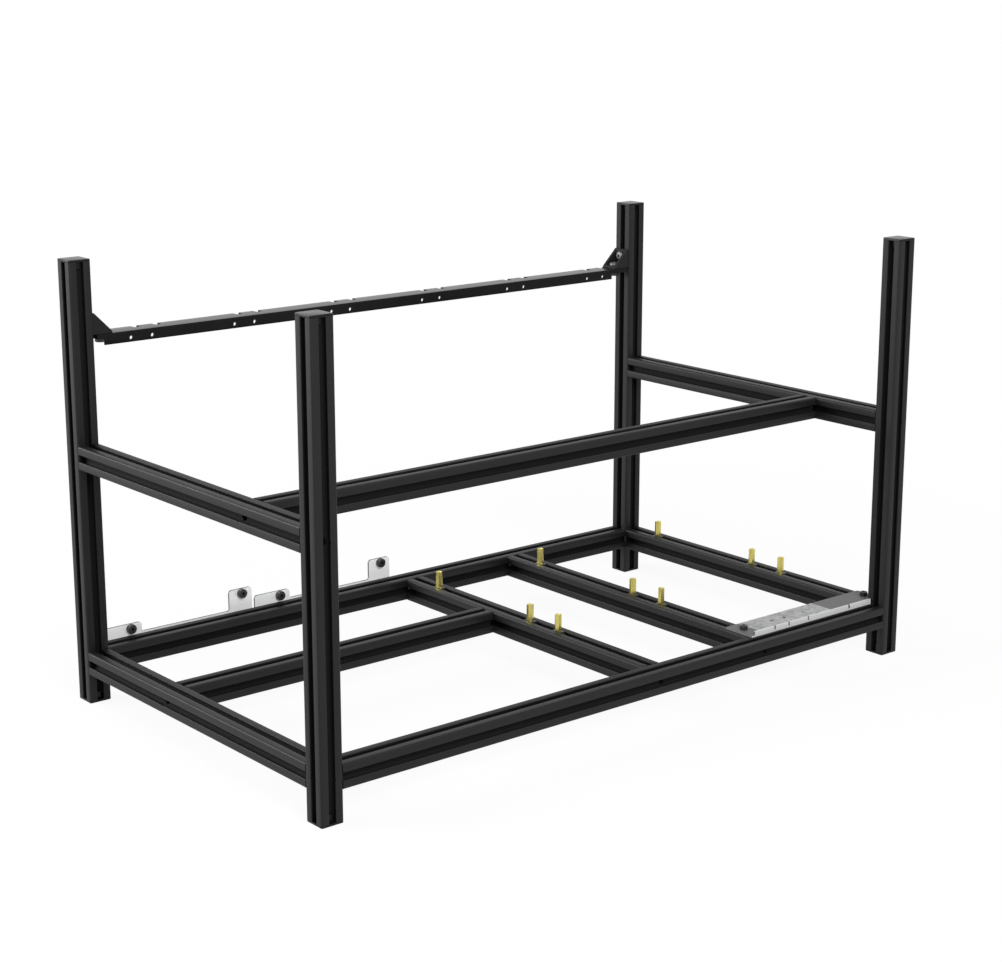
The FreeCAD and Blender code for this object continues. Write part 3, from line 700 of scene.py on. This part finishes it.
low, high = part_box("bracket_post_screws")
middle = (low + high) / 2
seats = []
for side, sign in (("left", 1), ("right", -1)):
    bracket_low, bracket_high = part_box(f"corner_bracket_{side}")
    face = bracket_low.x + casting_wall if sign > 0 else bracket_high.x - casting_wall
    seats.append(pointing((face, middle.y, middle.z), axis=0, sign=sign))
screws = repeat(button_screw(post_screw_length), seats)
piece("bracket_post_button_screws", screws, [zinc], "zinc_plate", "bracket_post_screws")
refinish("bracket_post_t_nuts", zinc)
low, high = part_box("bracket_bar_screws")
middle = (low + high) / 2
columns = (low.x + head_radius, high.x - head_radius)
seats = [pointing((x, middle.y, high.z - head_height), axis=2, sign=1) for x in columns]
screws = repeat(button_screw(bar_screw_length), seats)
piece("bracket_bar_button_screws", screws, [zinc], "zinc_plate", "bracket_bar_screws")
low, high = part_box("bracket_bar_nuts")
nut_height = high.z - low.z
nut = turned_hexagon(nut_across, nut_height)
trim(nut, drill((0, 0, nut_height / 2), 2, nut_bore, 2 * nut_height, steps=32))
nuts = repeat(nut, [Matrix.Translation((x, middle.y, low.z)) for x in columns])
piece("bracket_hex_nuts", nuts, [oxide], "black_screw", "bracket_bar_nuts")

# Power supply brackets: strips of sheet steel, blanked with one low and one tall ear and screwed to the
# outside of the back rail. The sheet is near white on the side towards the supplies and zinc grey behind: the
# lighter front is a painted highlight and the darker back is painted shade, set against the light each side
# gets. The blanked edges are bare steel, coloured very dark as painted shade along them, and broken by
# tumbling.
sheet_thick = 2 * mm
strip_length = 152 * mm
strip_skirt = 18 * mm
low_ear = (38 * mm, 10 * mm)
tall_ear = (24 * mm, 20 * mm)
web_rise = 1.2 * mm
ear_radius = 3 * mm
web_radius = 2 * mm
skirt_radius = 1 * mm
blanked_edge = 0.2 * mm
thumb_places = ((26.5 * mm, 6 * mm), (140.5 * mm, 16 * mm))
thumb_hole = 2 * mm
fixing_places = ((40 * mm, -10 * mm), (112 * mm, -10 * mm))
supply_screw_length = 6.8 * mm
white_shades = ((0.90, 0.905, 0.91, 1), (0.96, 0.965, 0.97, 1))
# The bare edge colours are far darker than steel, to paint the shade along cut edges.
edge_shade_colours = ((0.06, 0.06, 0.062, 1), (0.14, 0.14, 0.145, 1))
back_shade_colours = ((0.26, 0.263, 0.268, 1), (0.44, 0.443, 0.45, 1))


def rolled_sheet(name, shades, metal):
    """Rolled sheet steel with faint rolling lines along X, in the colours and metalness that it is given."""
    finish, shader, place = start_finish(name)
    rolling = place.noise((12, 1500, 1500), detail=3)
    cloud = place.noise(70, detail=3)
    place.feed(shader, {
        "Base Color": (0.4 * rolling + 0.6 * cloud).blend(*shades),
        "Roughness": 0.34 + 0.12 * rolling,
        "Metallic": metal,
        "Normal": rolling.bump(0.006 * mm),
    })
    return finish


# The front's near white is a painted highlight and the back's zinc grey is painted shade.
white_painted_highlight = rolled_sheet("bright_steel", white_shades, metal=0.1)
painted_shade_edge = rolled_sheet("painted_shade_steel_edge", edge_shade_colours, metal=1.0)
zinc_back_painted_shade = rolled_sheet("zinc_back_painted_shade", back_shade_colours, metal=0.7)
supply_seats = []
thumb_seats = []
for side in ("left", "right"):
    node = f"power_supply_bracket_{side}"
    low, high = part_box(node)
    level = low.z + strip_skirt
    tall_start = strip_length - tall_ear[0]
    outline = [
        (0, -strip_skirt, skirt_radius), (strip_length, -strip_skirt, skirt_radius),
        (strip_length, tall_ear[1], ear_radius), (tall_start, tall_ear[1], ear_radius),
        (tall_start, web_rise, web_radius), (low_ear[0], web_rise, web_radius),
        (low_ear[0], low_ear[1], ear_radius), (0, low_ear[1], ear_radius),
    ]
    corners = [((low.x + x, low.y, level + z), radius) for x, z, radius in outline]
    form = pull_out(rounded_outline(corners), (0, sheet_thick, 0))
    cutters = []
    for inset, rise in thumb_places:
        cutters.append(drill((low.x + inset, low.y, level + rise), 1, thumb_hole, 3 * sheet_thick))
        thumb_seats.append(pointing((low.x + inset, low.y, level + rise), axis=1, sign=-1))
    for inset, rise in fixing_places:
        cutters.append(drill((low.x + inset, low.y, level + rise), 1, fixing_hole, 3 * sheet_thick))
        supply_seats.append(pointing((low.x + inset, high.y, level + rise), axis=1, sign=1))
    trim(form, join(cutters))
    # Front faces take the white painted highlight, back faces the grey painted shade, edges the dark painted
    # shade.
    for wall in form.faces:
        if abs(wall.normal.y) < 0.5:
            wall.material_index = 1
        elif wall.normal.y > 0:
            wall.material_index = 2
    finishes = [white_painted_highlight, painted_shade_edge, zinc_back_painted_shade]
    break_edges(piece(f"{node}_blanked", form, finishes, "bright_steel", node), blanked_edge, steps=2)
screws = repeat(button_screw(supply_screw_length), supply_seats)
piece("supply_button_screws", screws, [zinc], "zinc_plate", "supply_bracket_screws")
refinish("supply_bracket_t_nuts", zinc)

# Thumb screws: black-oxide steel, one in each ear for the back of a power supply. The head is knurled
# for the fingers, with turned chamfers and a hexagon socket for a key.
thumb_radius = 4.25 * mm
thumb_height = 4.5 * mm
thumb_ridges = 30
thumb_chamfer = 0.5 * mm
thumb_shank = 1.75 * mm
thumb_length = 6 * mm
thumb_pitch = 0.6 * mm
knurl_depth = 0.05
socket_floor = 1.1 * mm


def knurled_head(radius, height, ridges, chamfer):
    """A straight-knurled round head on the origin, with chamfered ends and a hexagon socket."""
    form = bmesh.new()
    bmesh.ops.create_circle(form, cap_ends=True, segments=2 * ridges, radius=radius)
    rim = sorted(form.verts, key=lambda vert: Vector((1, 0)).angle_signed(vert.co.xy, 0))
    bmesh.ops.scale(form, vec=(1 - knurl_depth, 1 - knurl_depth, 1), verts=rim[::2])
    pull_out(form, (0, 0, height))
    rim_radius = radius + cut_margin
    barrel = lathe([
        (0, 0), (radius - chamfer, 0), (rim_radius, chamfer), (rim_radius, height - chamfer),
        (radius - chamfer, height), (0, height),
    ])
    trim(form, barrel, "INTERSECT")
    return trim(form, hexagon(socket_across, height, socket_floor))


thumb = knurled_head(thumb_radius, thumb_height, thumb_ridges, thumb_chamfer)
trim(thumb, shank(thumb_shank, thumb_length, thumb_pitch), "UNION")
piece("supply_knurled_screws", repeat(thumb, thumb_seats), [oxide], "black_screw", "supply_thumb_screws")

# Tray plate: sheet steel across a crossbar and the right rail, with a notched lip bent up along the front
# rail. The lip is rolled bright, the plate has a dull spangle, and both ends, under the cap screws that hold
# it in T-nuts, are a darker matt grey. The notches are sheared to bare steel, and their sides are coloured
# very dark, which paints the shade in the notches.
tray_sheet = 1.5 * mm
tray_front_radius = 0.4 * mm
tray_shoulder_radius = 1 * mm
tray_back_radius = 2 * mm
tray_edge = 0.15 * mm
tray_ear_half = 8.5 * mm
tray_span = 157.48 * mm
tray_front_end = 146.98 * mm
tray_shoulder = 5.5 * mm
tray_depth = 33 * mm
tray_lip_start = -4.5 * mm
tray_lip_rise = 3.5 * mm
tray_lip_zone = 1.2 * tray_sheet
tray_notch_half = 1 * mm
tray_notches = (20.8 * mm, 38.6 * mm, 63.7 * mm, 117.4 * mm)
tray_holes = (37.7 * mm, 53.7 * mm, 78.5 * mm)
tray_hole_setback = 19.6 * mm
tray_hole = 2 * mm
tray_fixing_setback = 18 * mm
tray_fixing_hole = 2.25 * mm
grey_ends = (8 * mm, 103 * mm)
tray_head_radius = 3.5 * mm
tray_head_height = 4 * mm
tray_head_ridges = 24
tray_head_chamfer = 0.35 * mm
tray_screw_radius = 2 * mm
tray_screw_length = 6.3 * mm
tray_screw_pitch = 0.7 * mm
lip_shades = ((0.52, 0.523, 0.53, 1), (0.66, 0.663, 0.67, 1))
spangle_shades = ((0.08, 0.081, 0.083, 1), (0.58, 0.583, 0.59, 1))
grey_shades = ((0.08, 0.08, 0.082, 1), (0.14, 0.14, 0.143, 1))


def spangled_zinc(name):
    """Hot-dipped zinc, whose crystals catch the light each in its own way."""
    finish, shader, place = start_finish(name)
    crystals = place.node("ShaderNodeTexVoronoi", {}, {"Vector": place, "Scale": 340}, output=1)
    cloud = place.noise(110, detail=3)
    place.feed(shader, {
        "Base Color": (0.6 * crystals + 0.4 * cloud).blend(*spangle_shades),
        "Roughness": 0.3 + 0.2 * crystals,
        "Metallic": 0.7,
        "Normal": cloud.bump(0.02 * mm),
    })
    return finish


def dull_grey(name):
    """A darker, matt grey on both ends of the plate, a little mottled."""
    finish, shader, place = start_finish(name)
    mottle = place.noise(420, detail=4)
    place.feed(shader, {
        "Base Color": mottle.blend(*grey_shades),
        "Roughness": 0.5 + 0.15 * mottle,
        "Specular IOR Level": 0.3,
        "Normal": mottle.bump(0.02 * mm),
    })
    return finish


low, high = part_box("tray_plate")
left = low.x + tray_ear_half
tray_end = tray_span + tray_ear_half
outline = [
    (-tray_ear_half, 0, tray_front_radius), (tray_front_end, 0, tray_front_radius),
    (tray_front_end, tray_shoulder, 0), (tray_end, tray_shoulder, tray_shoulder_radius),
    (tray_end, tray_depth, tray_back_radius), (-tray_ear_half, tray_depth, tray_back_radius),
]
corners = [((left + x, low.y + y, low.z), radius) for x, y, radius in outline]
form = pull_out(rounded_outline(corners), (0, 0, tray_sheet))
for change in grey_ends:
    everything = form.verts[:] + form.edges[:] + form.faces[:]
    bmesh.ops.bisect_plane(form, geom=everything, plane_co=(left + change, 0, 0), plane_no=(1, 0, 0))
lip_breaks = [tray_lip_start]
for notch in tray_notches:
    lip_breaks += [notch - tray_notch_half, notch + tray_notch_half]
lip_breaks.append(tray_front_end - tray_front_radius)
lip_height = tray_sheet + tray_lip_rise
lips = []
for start, end in zip(lip_breaks[::2], lip_breaks[1::2]):
    lip_middle = (left + (start + end) / 2, low.y + tray_sheet / 2, low.z + lip_height / 2)
    lips.append(block((end - start, tray_sheet, lip_height), lip_middle))
trim(form, join(lips), "UNION")
cutters = []
for place in tray_holes:
    cutters.append(drill((left + place, low.y + tray_hole_setback, low.z), 2, tray_hole, 4 * tray_sheet))
seats = []
for place in (0, tray_span):
    seat = Vector((left + place, low.y + tray_fixing_setback, low.z + tray_sheet))
    cutters.append(drill(seat, 2, tray_fixing_hole, 4 * tray_sheet))
    seats.append(Matrix.Translation(seat))
trim(form, join(cutters))
for wall in form.faces:
    middle = wall.calc_center_median()
    if middle.y > low.y + tray_lip_zone:
        wall.material_index = 1 if grey_ends[0] < middle.x - left < grey_ends[1] else 2
    # The notch sides and lip ends get the very dark edge finish, which is painted shade.
    elif abs(wall.normal.x) > 0.5:
        wall.material_index = 3
rolled_lip = rolled_sheet("rolled_lip", lip_shades, metal=0.2)
finishes = [rolled_lip, spangled_zinc("spangled_zinc"), dull_grey("grey_end"), painted_shade_edge]
break_edges(piece("tray_sheet", form, finishes, "bright_steel", "tray_plate"), tray_edge, steps=2)
tray_screw = knurled_head(tray_head_radius, tray_head_height, tray_head_ridges, tray_head_chamfer)
trim(tray_screw, shank(tray_screw_radius, tray_screw_length, tray_screw_pitch), "UNION")
piece("tray_cap_screws", repeat(tray_screw, seats), [oxide], "black_screw", "tray_plate_screws")
refinish("tray_plate_t_nuts", zinc)

# Floor and room: a plain pale floor with soft light from the back left and the front, and a white surround
# that the lens and the metal both see.
floor_half = 14
floor_white = (0.86, 0.86, 0.86, 1)
surround_light = 0.4
light_aim = (0, 0, 0.15)


def seen_directly(wire):
    """1 for what the lens, a reflection or a clear piece shows, and 0 for light on the object."""
    kinds = ("Is Camera Ray", "Is Glossy Ray", "Is Transmission Ray")
    path = wire.tree.nodes.new("ShaderNodeLightPath")
    camera, glossy, clear = (Wire(wire.tree, path.outputs[kind]) for kind in kinds)
    return camera.math("MAXIMUM", camera.math("MAXIMUM", camera, glossy), clear)


form = bmesh.new()
bmesh.ops.create_grid(form, x_segments=1, y_segments=1, size=floor_half)
mesh = bpy.data.meshes.new("floor")
form.to_mesh(mesh)
form.free()
floor = bpy.data.objects.new("floor", mesh)
bpy.context.scene.collection.objects.link(floor)
floor_finish, shader, place = start_finish("pale_floor")
place.feed(shader, {"Base Color": floor_white, "Roughness": 0.9, "Specular IOR Level": 0.0})
glow = place.node("ShaderNodeEmission", {}, {"Color": (1, 1, 1, 1), "Strength": 1.0})
lit = Wire(floor_finish.node_tree, shader.outputs["BSDF"])
reach = place.node("ShaderNodeVectorMath", {"operation": "LENGTH"}, {0: place}, output=1)
fade = {"Value": reach, "From Min": 0.35, "From Max": 1.1, "To Min": 0.92, "To Max": 1.0}
whiteness = place.node("ShaderNodeMapRange", {"interpolation_type": "SMOOTHSTEP"}, fade)
surface = place.node("ShaderNodeMixShader", {}, {0: seen_directly(place) * whiteness, 1: lit, 2: glow})
output = floor_finish.node_tree.nodes["Material Output"]
floor_finish.node_tree.links.new(surface.socket, output.inputs["Surface"])
mesh.materials.append(floor_finish)

world = bpy.data.worlds.new("white_room")
world.use_nodes = True
bpy.context.scene.world = world
tree = world.node_tree
backdrop = Wire(tree, tree.nodes["Background"].outputs[0])
backdrop.feed(tree.nodes["Background"], {"Color": (1, 1, 1, 1), "Strength": surround_light})
white = backdrop.node("ShaderNodeBackground", {}, {"Color": (1, 1, 1, 1), "Strength": 1.0})
surround = backdrop.node("ShaderNodeMixShader", {}, {0: seen_directly(backdrop), 1: backdrop, 2: white})
tree.links.new(surround.socket, tree.nodes["World Output"].inputs["Surface"])


def soft_light(name, place, size, power):
    """A rectangular lamp that faces the object, with its size in metres and its power in watts."""
    lamp = bpy.data.lights.new(name, "AREA")
    lamp.shape = "RECTANGLE"
    lamp.size, lamp.size_y = size
    lamp.energy = power
    stand = bpy.data.objects.new(name, lamp)
    stand.location = place
    stand.rotation_euler = (Vector(light_aim) - Vector(place)).to_track_quat("-Z", "Y").to_euler()
    bpy.context.scene.collection.objects.link(stand)


soft_light("left_softbox", place=(-2.1, 1.75, 1.05), size=(1.9, 1.5), power=92)
soft_light("front_softbox", place=(-0.58, -2.17, 1.45), size=(1.4, 1.1), power=64)

# Camera: above the top of the frame, looking down at its front left corner through a longish lens, as for a
# product picture.
lens = bpy.data.cameras.new("camera")
lens.sensor_fit = "HORIZONTAL"
lens.sensor_width = 36
lens.lens = 76.2
camera = bpy.data.objects.new("camera", lens)
camera.location = (-1.1364, -1.3845, 0.6267)
camera.rotation_euler = (radians(75.909), radians(0.04), radians(-39.403))
bpy.context.scene.collection.objects.link(camera)
bpy.context.scene.camera = camera
bpy.context.scene.view_settings.view_transform = "Standard"
